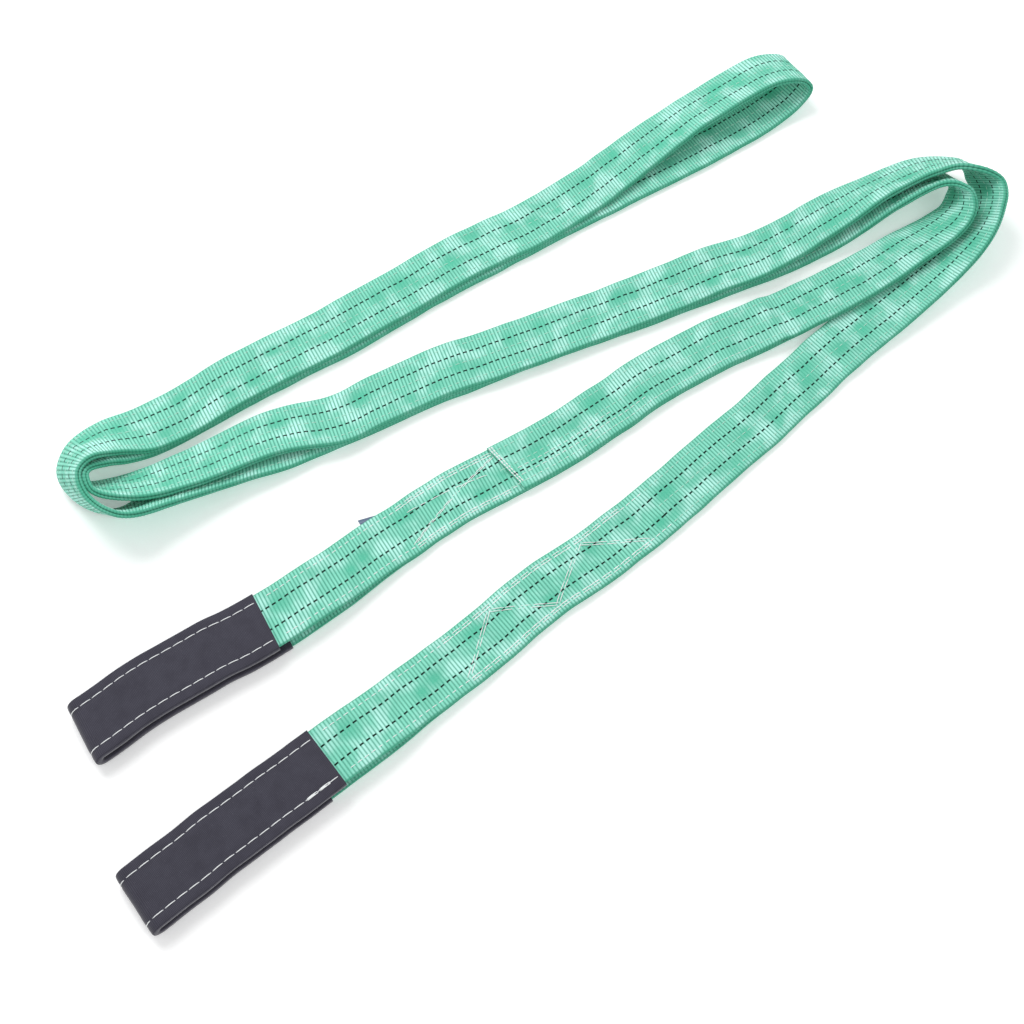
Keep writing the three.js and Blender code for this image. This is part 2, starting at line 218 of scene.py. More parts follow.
# The strap is made in lengths that end at these route points.
CUT_POINTS = [12, 23, 31, 41, 48, 58, 65, 75, 84, 96]
LENGTH_NAMES = [
    "strand_a", "right_bend_a", "middle_pass_a", "left_bend_a", "upper_pass_a", "mid_fold",
    "upper_pass_b", "left_bend_b", "middle_pass_b", "right_bend_b", "strand_b",
]


# ---------------------------------------------------------------- camera, light and floor
CAMERA_PLACE = (-0.0404, -0.7260, 1.20507)
CAMERA_PITCH_DOWN = math.radians(62)
LENS_MM = 50
SENSOR_WIDTH_MM = 36
DAYLIGHT = 0.62
FLOOR_HALF = 4.0
FLOOR_DROP = 0.0003
FLOOR_GLOW = 0.24


def make_camera():
    data = bpy.data.cameras.new("camera")
    data.lens = LENS_MM
    data.sensor_width = SENSOR_WIDTH_MM
    camera = bpy.data.objects.new("camera", data)
    camera.location = CAMERA_PLACE
    camera.rotation_euler = (math.pi / 2 - CAMERA_PITCH_DOWN, 0, 0)
    bpy.context.scene.collection.objects.link(camera)
    bpy.context.scene.camera = camera


def make_area_light(name, place, size, power):
    """A round soft light aimed at the middle of the sling."""
    data = bpy.data.lights.new(name, "AREA")
    data.shape = "DISK"
    data.size = size
    data.energy = power
    light = bpy.data.objects.new(name, data)
    light.location = place
    light.rotation_euler = (-Vector(place)).to_track_quat("-Z", "Y").to_euler()
    bpy.context.scene.collection.objects.link(light)


def make_studio():
    bpy.context.scene.view_settings.view_transform = "Standard"
    world = bpy.data.worlds.new("studio")
    world.use_nodes = True
    background = world.node_tree.nodes["Background"]
    background.inputs["Color"].default_value = (1, 1, 1, 1)
    background.inputs["Strength"].default_value = DAYLIGHT
    bpy.context.scene.world = world
    make_area_light("key", place=(-0.9, 1.1, 1.9), size=1.5, power=34)
    make_area_light("fill", place=(1.4, -1.2, 1.8), size=1.6, power=8)


def make_floor():
    mesh = bpy.data.meshes.new("floor")
    turns = ((-1, -1), (1, -1), (1, 1), (-1, 1))
    corners = [(x * FLOOR_HALF, y * FLOOR_HALF, 0) for x, y in turns]
    mesh.from_pydata(corners, [], [(0, 1, 2, 3)])
    floor = bpy.data.objects.new("floor", mesh)
    floor.location.z = -FLOOR_DROP
    bpy.context.scene.collection.objects.link(floor)
    graph = Graph("floor_paint", roughness=0.9)
    speckle = graph.node("ShaderNodeTexNoise", Scale=30.0, Detail=4.0)
    graph.colour(graph.mix(speckle.outputs["Fac"], srgb(250, 250, 250), srgb(246, 247, 247)))
    graph.shader.inputs["Emission Color"].default_value = (1, 1, 1, 1)
    graph.shader.inputs["Emission Strength"].default_value = FLOOR_GLOW
    mesh.materials.append(graph.material)


# ---------------------------------------------------------------- material helper
def srgb(red, green, blue):
    """A linear colour from everyday 0 to 255 values."""
    def linear(value):
        value /= 255
        return value / 12.92 if value <= 0.04045 else ((value + 0.055) / 1.055) ** 2.4
    return (linear(red), linear(green), linear(blue), 1)


# A Mix node's colour sockets share their names with its float sockets, so they go by number.
MIX_FIRST_COLOUR = 6
MIX_SECOND_COLOUR = 7
MIX_COLOUR_RESULT = 2


class Graph:
    """One material: a Principled shader and the nodes that feed it."""

    def __init__(self, name, roughness, sheen=0.0, specular=0.3):
        self.material = bpy.data.materials.new(name)
        self.material.use_nodes = True
        self.tree = self.material.node_tree
        self.shader = self.tree.nodes["Principled BSDF"]
        self.shader.inputs["Roughness"].default_value = roughness
        self.shader.inputs["Sheen Weight"].default_value = sheen
        self.shader.inputs["Sheen Roughness"].default_value = 0.4
        self.shader.inputs["Specular IOR Level"].default_value = specular

    def link(self, value, socket):
        if isinstance(value, bpy.types.NodeSocket):
            self.tree.links.new(value, socket)
        else:
            socket.default_value = value

    def node(self, kind, **inputs):
        made = self.tree.nodes.new(kind)
        for name, value in inputs.items():
            self.link(value, made.inputs[name])
        return made

    def attribute(self, name):
        made = self.tree.nodes.new("ShaderNodeAttribute")
        made.attribute_name = name
        return made.outputs["Fac"]

    def math(self, operation, *values):
        made = self.tree.nodes.new("ShaderNodeMath")
        made.operation = operation
        for socket, value in zip(made.inputs, values):
            self.link(value, socket)
        return made.outputs[0]

    def ramp(self, value, low, high):
        """A smooth step from 0 at the low end to 1 at the high end."""
        made = self.tree.nodes.new("ShaderNodeMapRange")
        made.interpolation_type = "SMOOTHSTEP"
        for socket, number in zip(made.inputs, (value, low, high)):
            self.link(number, socket)
        return made.outputs["Result"]

    def mix(self, factor, first, second):
        made = self.tree.nodes.new("ShaderNodeMix")
        made.data_type = "RGBA"
        self.link(factor, made.inputs["Factor"])
        self.link(first, made.inputs[MIX_FIRST_COLOUR])
        self.link(second, made.inputs[MIX_SECOND_COLOUR])
        return made.outputs[MIX_COLOUR_RESULT]

    def vector(self, x, y):
        return self.node("ShaderNodeCombineXYZ", X=x, Y=y).outputs[0]

    def noise(self, vector, scale, detail=2.0, roughness=0.5):
        made = self.node("ShaderNodeTexNoise", Scale=scale, Detail=detail, Roughness=roughness)
        self.tree.links.new(vector, made.inputs["Vector"])
        return made.outputs["Fac"]

    def wave(self, value, pitch):
        """A smooth wave from 0 to 1 along a length, with one crest in each pitch."""
        turns = self.math("MULTIPLY", value, 2 * math.pi / pitch)
        return self.math("MULTIPLY_ADD", self.math("COSINE", turns), -0.5, 0.5)

    def weave(self, along, side, pitch):
        """The crossing waves of a plain weave."""
        return self.math("MULTIPLY", self.wave(along, pitch), self.wave(side, pitch))

    def colour(self, value):
        self.link(value, self.shader.inputs["Base Color"])

    def bump(self, height, strength, distance):
        made = self.node("ShaderNodeBump", Strength=strength, Distance=distance, Height=height)
        self.tree.links.new(made.outputs["Normal"], self.shader.inputs["Normal"])


# ---------------------------------------------------------------- materials
MARKER_SIDE = 0.0104                   # from the middle to each dashed marker line
MARKER_HALF_WIDTH = 0.00085
MARKER_PITCH = 0.0069
MARKER_SHARE = 0.60                    # how much of each pitch its dash fills
MARKER_WANDER = 0.004
YARN_PITCH = 0.00125
SLEEVE_WEAVE_PITCH = 0.0013
LABEL_WEAVE_PITCH = 0.0006
LABEL_BORDER_SIDE = 0.021
TWIST_PITCH = 0.0009

LIT_CREST_COLOUR = srgb(134, 226, 200)
GLINT_COLOUR = srgb(192, 255, 242)
GROOVE_SHADE_COLOUR = srgb(14, 134, 106)
SMOOTH_PATCH_SHADE_COLOUR = srgb(60, 184, 150)
BLOTCH_COLOUR = srgb(50, 154, 126)
FIBRE_COLOUR = srgb(214, 252, 240)
EDGE_SELVEDGE_AND_SHADE_COLOUR = srgb(60, 160, 128)
MARKER_COLOUR = srgb(0, 34, 26)
SLEEVE_LOW_COLOUR = srgb(58, 57, 68)
SLEEVE_HIGH_COLOUR = srgb(86, 85, 96)
SLEEVE_CLOUD_COLOUR = srgb(44, 42, 52)
LINT_COLOUR = srgb(150, 148, 158)
LABEL_LOW_COLOUR = srgb(58, 74, 116)
LABEL_HIGH_COLOUR = srgb(84, 98, 138)
LABEL_BORDER_COLOUR = srgb(96, 112, 138)


def webbing_material():
    graph = Graph("webbing", roughness=0.6, specular=0.14)
    along = graph.attribute("along")
    side = graph.attribute("side")
    crest = graph.attribute("crest")
    smooth = graph.attribute("smooth")
    place = graph.vector(along, side)
    wander = graph.math("SUBTRACT", graph.noise(graph.vector(along, 0.0), 16.0, 1.0), 0.5)
    marked_side = graph.math("MULTIPLY_ADD", wander, MARKER_WANDER, side)
    distance_from_middle = graph.math("ABSOLUTE", marked_side)
    edge_distance = graph.math("ABSOLUTE", side)

    # Painted light on the ribs: the crests are painted lighter, brighter still in the glint patches,
    # and the grooves are painted darker as painted shade.
    glint = graph.ramp(graph.noise(place, 34.0, 2.0), 0.44, 0.64)
    highlight = graph.mix(glint, LIT_CREST_COLOUR, GLINT_COLOUR)
    ribbed = graph.mix(crest, GROOVE_SHADE_COLOUR, highlight)
    # Painted shade: the smooth patches are painted a darker green.
    lit = graph.mix(smooth, ribbed, SMOOTH_PATCH_SHADE_COLOUR)
    blotch = graph.noise(place, 42.0, 2.0)
    lit = graph.mix(graph.ramp(blotch, 0.35, 0.7), lit, graph.mix(0.2, lit, BLOTCH_COLOUR))
    fibre = graph.noise(graph.vector(graph.math("MULTIPLY", along, 0.6), side), 1500.0, 3.0, 0.7)
    fibre_shade = graph.ramp(fibre, 0.3, 0.7)
    lit = graph.mix(graph.math("MULTIPLY", fibre_shade, 0.16), lit, FIBRE_COLOUR)

    # The rounded edges are painted darker: partly the selvedge's own colour, partly painted shade on
    # the band's sides.
    is_edge = graph.ramp(edge_distance, 0.0268, 0.0286)
    lit = graph.mix(graph.math("MULTIPLY", is_edge, 0.75), lit, EDGE_SELVEDGE_AND_SHADE_COLOUR)

    off_line = graph.math("ABSOLUTE", graph.math("SUBTRACT", distance_from_middle, MARKER_SIDE))
    on_line = graph.math("LESS_THAN", off_line, MARKER_HALF_WIDTH)
    phase = graph.math("FRACT", graph.math("DIVIDE", along, MARKER_PITCH))
    on_dash = graph.math("LESS_THAN", phase, MARKER_SHARE)
    dash = graph.math("MULTIPLY", on_line, on_dash)
    graph.colour(graph.mix(dash, lit, MARKER_COLOUR))

    yarn = graph.math("MULTIPLY", graph.wave(side, YARN_PITCH), 0.6)
    graph.bump(graph.math("ADD", yarn, graph.math("MULTIPLY", fibre, 0.8)), 0.45, 0.00022)
    return graph.material


def sleeve_material():
    graph = Graph("sleeve_cloth", roughness=0.88, sheen=0.35, specular=0.2)
    along = graph.attribute("along")
    side = graph.attribute("side")
    place = graph.vector(along, side)
    weave = graph.weave(along, side, SLEEVE_WEAVE_PITCH)
    cloudy = graph.noise(place, 60.0, 3.0, 0.6)
    base = graph.mix(weave, SLEEVE_LOW_COLOUR, SLEEVE_HIGH_COLOUR)
    clouded = graph.mix(0.35, base, SLEEVE_CLOUD_COLOUR)
    base = graph.mix(graph.ramp(cloudy, 0.3, 0.75), base, clouded)
    lint = graph.ramp(graph.noise(place, 900.0, 2.0, 0.8), 0.62, 0.8)
    graph.colour(graph.mix(graph.math("MULTIPLY", lint, 0.3), base, LINT_COLOUR))
    graph.bump(graph.math("ADD", weave, graph.math("MULTIPLY", cloudy, 0.4)), 0.5, 0.0002)
    return graph.material


def thread_material(name, main, shade):
    graph = Graph(name, roughness=0.5, sheen=0.2)
    along = graph.attribute("along")
    twist = graph.wave(along, TWIST_PITCH)
    dust = graph.noise(graph.vector(along, graph.attribute("side")), 700.0)
    shaded = graph.math("MULTIPLY", graph.math("ADD", twist, dust), 0.4)
    graph.colour(graph.mix(shaded, main, shade))
    graph.bump(twist, 0.4, 0.0001)
    return graph.material


def label_material():
    graph = Graph("label_satin", roughness=0.4, sheen=0.1, specular=0.5)
    along = graph.attribute("along")
    side = graph.attribute("side")
    weave = graph.weave(along, side, LABEL_WEAVE_PITCH)
    base = graph.mix(weave, LABEL_LOW_COLOUR, LABEL_HIGH_COLOUR)
    border = graph.math("GREATER_THAN", graph.math("ABSOLUTE", side), LABEL_BORDER_SIDE)
    graph.colour(graph.mix(border, base, LABEL_BORDER_COLOUR))
    graph.bump(weave, 0.3, 0.0001)
    return graph.material


# ---------------------------------------------------------------- smooth random fields
FIELD_ROWS = 512
FIELD_COLUMNS = 64


def smooth_step(share):
    return share * share * (3 - 2 * share)


def random_field(distance, side, cell, seed):
    """A smooth random height from -1 to 1 over a flat strap, with cells of (length, width)."""
    lattice = np.random.default_rng(seed).uniform(-1, 1, (FIELD_ROWS, FIELD_COLUMNS))
    u = np.asarray(distance) / cell[0]
    v = np.asarray(side) / cell[1]
    i = np.floor(u).astype(int)
    j = np.floor(v).astype(int)
    a = smooth_step(u - i)
    b = smooth_step(v - j)

    def corner(row, column):
        return lattice[(i + row) % FIELD_ROWS, (j + column) % FIELD_COLUMNS]

    low = corner(0, 0) * (1 - a) + corner(1, 0) * a
    high = corner(0, 1) * (1 - a) + corner(1, 1) * a
    return low * (1 - b) + high * b


def waves(distance, side, layers):
    """Random fields added together, from rows of height, cell length, cell width and seed."""
    return sum(
        height * random_field(distance, side, (length, width), seed)
        for height, length, width, seed in layers)


# ---------------------------------------------------------------- ribbons
def unit(vectors):
    return vectors / np.linalg.norm(vectors, axis=-1, keepdims=True)


class Ribbon:
    """The line that a layer of cloth follows, with its across and outward directions."""

    def __init__(self, point, across, outward, distance=None):
        self.point = point
        self.across = unit(across)
        self.outward = unit(outward)
        steps = np.linalg.norm(np.diff(point, axis=0), axis=1)
        self.distance = np.concatenate([[0], np.cumsum(steps)]) if distance is None else distance
        self.total = self.distance[-1]

    def sample(self, values, distance):
        return np.stack([np.interp(distance, self.distance, values[:, k]) for k in range(3)], -1)

    def at(self, distance):
        """Middle points, across and outward directions at those distances."""
        return (
            self.sample(self.point, distance),
            unit(self.sample(self.across, distance)),
            unit(self.sample(self.outward, distance)),
        )

    def place(self, distance, side, height):
        """Points at a distance along, a side shift across and a height out of the ribbon."""
        point, across, outward = self.at(distance)
        side = np.asarray(side)[..., None]
        height = np.asarray(height)[..., None]
        return point + across * side + outward * height

    def moved(self, height):
        """The same ribbon, further out by that height, with the same distances."""
        return Ribbon(self.point + self.outward * height, self.across, self.outward, self.distance)

    def turned(self):
        """The same ribbon seen from its other face."""
        return Ribbon(self.point, self.across, -self.outward, self.distance)


def smooth_rows(rows, steps):
    """Catmull-Rom curves through the rows, with that many steps to each span."""
    rows = np.array(rows, float)
    padded = np.vstack([2 * rows[0] - rows[1], rows, 2 * rows[-1] - rows[-2]])
    t = np.arange(steps)[:, None] / steps
    spans = []
    for i in range(len(rows) - 1):
        a, b, c, d = padded[i:i + 4]
        square = 2 * a - 5 * b + 4 * c - d
        cube = -a + 3 * b - 3 * c + d
        spans.append(0.5 * (2 * b + (c - a) * t + square * t**2 + cube * t**3))
    return np.vstack([*spans, rows[-1:]])


# Rows of height, cell length, cell width and seed.
HUMPS = ((0.0011, 0.050, 0.050, 3), (0.0005, 0.026, 0.026, 4))
HUMP_BASE = 0.0009
SWAYS = ((0.0009, 0.048, 1.0, 5), (0.0004, 0.021, 1.0, 6))


def hump_height(point):
    """Slow rises and dips of everything that lies over one place on the floor."""
    return waves(point[:, 0], point[:, 1], HUMPS) + HUMP_BASE


def sway(distance):
    """How far the strap wanders to either side of its route."""
    return waves(distance, 0 * distance, SWAYS)


def strap_ribbon():
    """The middle of the two-ply stack, from the tip of eye A to the tip of eye B."""
    rows = smooth_rows(ROUTE, STEPS_PER_SPAN)
    point = rows[:, :3] + ORIGIN_SHIFT
    side = np.radians(rows[:, 3])
    lift = np.radians(rows[:, 4])
    across = np.stack([np.cos(side) * np.cos(lift), np.sin(side) * np.cos(lift), np.sin(lift)], 1)
    along = unit(np.gradient(point, axis=0))
    face = unit(np.cross(across, along))
    plain = Ribbon(point, across, face)
    upright = np.sign(face[:, 2:]) * face * np.abs(face[:, 2:])
    raised = point + upright * hump_height(point)[:, None]
    raised = raised + across * sway(plain.distance)[:, None]
    return Ribbon(raised, across, face, plain.distance)


STRAP = strap_ribbon()
TOTAL = STRAP.total


def route_distance(index):
    return STRAP.distance[index * STEPS_PER_SPAN]


def at_groove(distance):
    """The nearest rib groove, so that two lengths meet between ribs."""
    return round(distance / RIB_PITCH) * RIB_PITCH


# ---------------------------------------------------------------- the surface of the webbing
def rib_profile(distance):
    return np.abs(np.sin(np.pi * distance / RIB_PITCH)) ** 0.8


SPOT_SPACING = 0.030
SPOT_LANES = (-0.0125, -0.009, 0.002, 0.013)
SPOT_WANDER = (0.016, 0.003)           # along and across
SPOT_LENGTH = (0.007, 0.013)
SPOT_BREADTH = (0.006, 0.0095)
SPOT_STRENGTH = (0.55, 1.0)


def smoothness(distance, side):
    """1 in the patches where the weave is pulled smooth and its ribs all but vanish, else 0. The
    webbing's colour paints these patches darker, as painted shade.
    """
    distance, side = np.broadcast_arrays(distance, side)
    amount = np.zeros(distance.shape)
    spots = np.random.default_rng(11)
    for middle in np.arange(0.02, TOTAL, SPOT_SPACING):
        place = middle + spots.uniform(-SPOT_WANDER[0], SPOT_WANDER[0])
        lane = spots.choice(SPOT_LANES) + spots.uniform(-SPOT_WANDER[1], SPOT_WANDER[1])
        length = spots.uniform(*SPOT_LENGTH)
        breadth = spots.uniform(*SPOT_BREADTH)
        strength = spots.uniform(*SPOT_STRENGTH)
        near = np.abs(distance - place) < 3 * length
        if not near.any():
            continue
        along = (distance - place) / length
        over = (side - lane) / breadth
        amount = np.maximum(amount, strength * np.exp(-((along**2 + over**2) ** 1.3)) * near)
    return amount


def rib_strength(distance, side):
    """How far the ribs stand up, as a share of their full relief."""
    fine = random_field(distance, side, (0.006, 0.010), seed=13)
    return (0.84 + 0.16 * fine) * (1 - 0.9 * smoothness(distance, side))


def pucker(distance, side):
    """The cloth rises between the rows of stitches, and sinks where it is pulled smooth."""
    rise = np.abs(np.sin(np.pi * side / STITCH_ROW_SIDE)) ** 0.7
    wander = random_field(distance, side, (0.018, 0.016), seed=21)
    return (0.0003 + 0.0003 * wander) * rise - 0.0006 * smoothness(distance, side)


# ---------------------------------------------------------------- mesh helpers
def link_mesh(name, points, faces, material, **attributes):
    """A smooth-shaded object from points, faces as (quads, other faces) and point values."""
    mesh = bpy.data.meshes.new(name)
    quads = np.asarray(faces[0], np.int32)
    others = faces[1]
    corners = np.concatenate([quads.ravel(), *[np.asarray(f, np.int32) for f in others]])
    sizes = np.concatenate([np.full(len(quads), 4), [len(f) for f in others]]).astype(np.int32)
    mesh.vertices.add(len(points))
    mesh.vertices.foreach_set("co", np.asarray(points, np.float32).ravel())
    mesh.loops.add(len(corners))
    mesh.loops.foreach_set("vertex_index", corners)
    mesh.polygons.add(len(sizes))
    mesh.polygons.foreach_set("loop_start", np.concatenate([[0], np.cumsum(sizes)[:-1]]))
    mesh.update(calc_edges=True)
    mesh.validate()
    for key, values in attributes.items():
        layer = mesh.attributes.new(key, "FLOAT", "POINT")
        layer.data.foreach_set("value", np.asarray(values, np.float32).ravel())
    mesh.materials.append(material)
    mesh.polygons.foreach_set("use_smooth", np.ones(len(sizes), bool))
    made = bpy.data.objects.new(name, mesh)
    bpy.context.scene.collection.objects.link(made)
    return made


def ring_quads(rows, columns, flip):
    """Quads of a closed tube of rings, each ring with that many columns."""
    i = np.arange(rows - 1)[:, None] * columns
    j = np.arange(columns)[None]
    k = (j + 1) % columns
    quads = np.stack([i + j, i + k, i + k + columns, i + j + columns], -1).reshape(-1, 4)
    return quads[:, ::-1] if flip else quads


def end_caps(rows, columns, flip):
    """The two faces that close a tube's first and last ring."""
    first = list(range(columns))
    last = [(rows - 1) * columns + k for k in range(columns)]
    return [first, last[::-1]] if flip else [first[::-1], last]


TRAVEL_PROBE = 0.0005


def points_out(ribbon, start, end):
    """True where across x travel points out of the show face."""
    middle = (start + end) / 2
    near = ribbon.at(np.array([middle, middle + TRAVEL_PROBE]))
    travel = near[0][1] - near[0][0]
    return np.dot(np.cross(near[1][0], travel), near[2][0]) > 0


FACE_COLUMNS = 14
EDGE_COLUMNS = 3
INNER_COLUMNS = 2
EDGE_PUSH = 0.5                        # how much of the ribs' relief the rounded edges take
SLANT_FADE = 0.05                      # a slanted start is straight again after this length


def band_section(width, thickness):
    """Side, height, side push, height push and wrapped side position round a band's section."""
    round_edge = thickness / 2
    flat = width / 2 - round_edge
    face_side = np.linspace(-flat, flat, FACE_COLUMNS)
    rows = [(s, round_edge, 0.0, 1.0, s) for s in face_side]
    turn = np.linspace(math.pi / 2, -math.pi / 2, EDGE_COLUMNS + 2)[1:-1]
    for angle in turn:
        wrap = flat + round_edge * (math.pi / 2 - angle)
        rows.append((
            flat + round_edge * math.cos(angle), round_edge * math.sin(angle),
            EDGE_PUSH * math.cos(angle), EDGE_PUSH * math.sin(angle), wrap))
    for s in np.linspace(flat, -flat, INNER_COLUMNS):
        rows.append((s, -round_edge, 0.0, 0.0, s))
    for angle in turn[::-1]:
        wrap = flat + round_edge * (math.pi / 2 - angle)
        rows.append((
            -flat - round_edge * math.cos(angle), round_edge * math.sin(angle),
            -EDGE_PUSH * math.cos(angle), EDGE_PUSH * math.sin(angle), -wrap))
    return np.array(rows).T


def webbing_band(name, ribbon, start, end, material, width=WEB_WIDTH, thickness=PLY,
                 covered=(0, 0), slant=0.0):
    """One length of ribbed webbing as a closed solid along a ribbon, flat where it is covered.

    The slant is how much further along its start lies at the near edge than at the far edge.
    """
    count = int(round((end - start) / (RIB_PITCH / ROWS_PER_RIB))) + 1
    side, height, push_side, push_height, wrapped = band_section(width, thickness)
    distance = np.linspace(start, end, count)[:, None]
    fading = np.clip(1 - (distance - start) / SLANT_FADE, 0, 1)
    distance = distance + slant * fading * (side / width + 0.5)
    on_face = (push_height == 1.0).astype(float)
    strength = rib_strength(distance, side[None])
    relief = RIB_RELIEF * rib_profile(distance) * strength
    relief = relief + pucker(distance, side[None]) * on_face
    relief = relief * ((distance < covered[0]) | (distance > covered[1]))
    points = ribbon.place(
        distance, side + relief * push_side, height + relief * push_height)
    columns = len(side)
    flip = not points_out(ribbon, start, end)
    faces = (ring_quads(count, columns, flip), end_caps(count, columns, flip))
    return link_mesh(
        name, points.reshape(-1, 3), faces, material,
        along=distance, side=np.broadcast_to(wrapped, relief.shape),
        crest=rib_profile(distance) * (0.75 + 0.25 * strength),
        smooth=smoothness(distance, side[None]))


# ---------------------------------------------------------------- stitching
THREAD_RADIUS = 0.00042
THREAD_FLATNESS = 0.8
STITCH_END_GIRTH = 0.72                # as a share of the girth at the stitch's middle
STITCH_SINK = 0.0004
STITCH_ARCH = 0.0008
STITCH_RINGS = 5
STITCH_SIDES = 6
STITCH_RIB_SHARE = 0.6                 # stitches lie between the ribs' crests and grooves


def thread_piece(name, centres, across, up, radius, material):
    """Separate stitches in one object: centres (n, rings, 3) with their side and up directions."""
    count, rings = centres.shape[:2]
    along = np.linspace(0, 1, rings)
    swell = STITCH_END_GIRTH + (1 - STITCH_END_GIRTH) * np.sin(np.pi * along)
    girth = radius * swell[None, :, None, None]
    angle = np.linspace(0, 2 * math.pi, STITCH_SIDES, endpoint=False)[None, None, :, None]
    points = (
        centres[:, :, None] + girth * np.cos(angle) * across[:, :, None]
        + THREAD_FLATNESS * girth * np.sin(angle) * up[:, :, None])
    stitch = np.arange(count)[:, None] * rings * STITCH_SIDES
    quads = ring_quads(rings, STITCH_SIDES, flip=False)
    all_quads = (stitch[:, :, None] + quads[None]).reshape(-1, 4)
    travel = centres[0, -1] - centres[0, 0]
    if np.dot(np.cross(across[0, 0], up[0, 0]), travel) < 0:
        all_quads = all_quads[:, ::-1]
        order = (1, -1)
    else:
        order = (-1, 1)
    first = np.arange(STITCH_SIDES)
    last = first + (rings - 1) * STITCH_SIDES
    caps = [list(start + first[::order[0]]) for start in stitch[:, 0]]
    caps += [list(start + last[::order[1]]) for start in stitch[:, 0]]
    lengths = np.linalg.norm(centres - centres[:, :1], axis=-1)
    return link_mesh(
        name, points.reshape(-1, 3), (all_quads, caps), material,
        along=np.repeat(lengths.ravel(), STITCH_SIDES),
        side=np.tile(np.arange(STITCH_SIDES) * 0.0005, count * rings))


def stitch_line(ribbon, corners, stitch, gap, surface):
    """Stitch centres and directions along straight lines between (distance, side) corners."""
    centres = []
    sides = []
    ups = []
    for (d0, s0), (d1, s1) in zip(corners, corners[1:]):
        length = math.hypot(d1 - d0, s1 - s0)
        count = max(1, int(length / (stitch + gap)))
        start = np.arange(count)[:, None] / count
        share = start + np.linspace(0, stitch / (stitch + gap), STITCH_RINGS)[None] / count
        distance = d0 + (d1 - d0) * share
        side = s0 + (s1 - s0) * share
        arch = np.sin(np.pi * np.linspace(0, 1, STITCH_RINGS)) ** 0.5
        height = surface(distance, side) - STITCH_SINK + STITCH_ARCH * arch[None]
        centre = ribbon.place(distance, side, height)
        _, _, outward = ribbon.at(distance)
        travel = np.gradient(centre, axis=1)
        centres.append(centre)
        sides.append(unit(np.cross(travel, outward)))
        ups.append(outward)
    return np.concatenate(centres), np.concatenate(sides), np.concatenate(ups)


def stitching(name, ribbon, lines, material, stitch=0.0062, gap=0.0012, surface=None,
              radius=THREAD_RADIUS):
    """One object holding every stitch of several stitched lines."""
    surface = surface or web_surface
    parts = [stitch_line(ribbon, corners, stitch, gap, surface) for corners in lines]
    centres, across, up = (np.concatenate(group) for group in zip(*parts))
    return thread_piece(name, centres, across, up, radius, material)


def web_surface(distance, side):
    """Height of the webbing's face above the middle of its ply."""
    strength = rib_strength(distance, side)
    return PLY / 2 + pucker(distance, side) + STITCH_RIB_SHARE * RIB_RELIEF * strength


# ---------------------------------------------------------------- the body of the sling
def lapped_face():
    """The face ply, which rides over the hidden end of the webbing along the lap."""
    dropped = np.clip((STRAP.distance - LAP_END) / LAP_DROP + 1, 0, 1)
    eased = smooth_step(dropped)
    return STRAP.moved((LAP_OFFSET + (PLY_OFFSET - LAP_OFFSET) * eased)[:, None])


def build_body(web, thread):
    face = lapped_face()
    back = STRAP.turned().moved(PLY_OFFSET)
    cuts = [END_LENGTH["a"], *map(route_distance, CUT_POINTS), TOTAL - END_LENGTH["b"]]
    cuts = [at_groove(cut) for cut in cuts]
    for name, length_start, end in zip(LENGTH_NAMES, cuts, cuts[1:]):
        for layer, ribbon in (("face", face), ("back", back)):
            is_lapped = (name, layer) == ("strand_a", "face")
            start = at_groove(LAP_START) if is_lapped else length_start
            ply = webbing_band(f"{name}_{layer}", ribbon, start, end, web,
                               slant=LAP_SLANT if is_lapped else 0.0)
            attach(ply, "strap")
            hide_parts(f"{name}_{layer}_ply")
            rows = [
                [(start, side), (end, side)]
                for side in (-STITCH_ROW_SIDE, 0.0, STITCH_ROW_SIDE)
            ]
            seams = stitching(f"{name}_{layer}_seams", ribbon, rows, thread)
            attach(seams, "strap")


# ---------------------------------------------------------------- the eyes
LOOP_STEP = 0.004
TURN_STEPS = 14
EYE_TURN = math.pi * EYE_HALF_HEIGHT / 2    # half of the turn at the eye's tip
LINING_STOP = 0.150                         # from the lining's ends to the throat
LINING_WIDTH = WEB_WIDTH - 0.002
BLEND_REACH = 0.045                         # the bend runs this far to each side of the throat
COVERED_MARGIN = 0.004                      # ribs show this far inside a sleeve's mouth
SLEEVE_CLEARANCE = 0.020                    # rows stop this far past the sleeve's reach
ROW_MARGIN = 0.001


def eye_half_height(from_tip, throat):
    closing = np.clip((from_tip - EYE_CLOSING_START) / (throat - EYE_CLOSING_START), 0, 1)
    return EYE_HALF_HEIGHT + (PLY_OFFSET - EYE_HALF_HEIGHT) * smooth_step(closing)


def eye_ribbon(end, reach):
    """The middle of the webbing round one eye: out along the upper leg, round, and back."""
    upward = 1 if end == "a" else -1
    from_tip = np.linspace(reach, 0, int(reach / LOOP_STEP) + 1)
    point, across, face = STRAP.at(from_tip if end == "a" else TOTAL - from_tip)
    up = face * upward
    height = eye_half_height(from_tip, THROAT[end])[:, None]
    upper = point + up * height
    lower = (point - up * height)[::-1]
    outward_along = unit(point[-1] - point[-2])
    angle = np.linspace(0, math.pi, TURN_STEPS + 1)[1:-1, None]
    turn_face = up[-1] * np.cos(angle) + outward_along * np.sin(angle)
    turn = point[-1] + turn_face * EYE_HALF_HEIGHT
    turn_across = np.repeat(across[-1:], len(turn), axis=0)
    return Ribbon(
        np.vstack([upper, turn, lower]),
        np.vstack([across, turn_across, across[::-1]]),
        np.vstack([up, turn_face, -up[::-1]]))


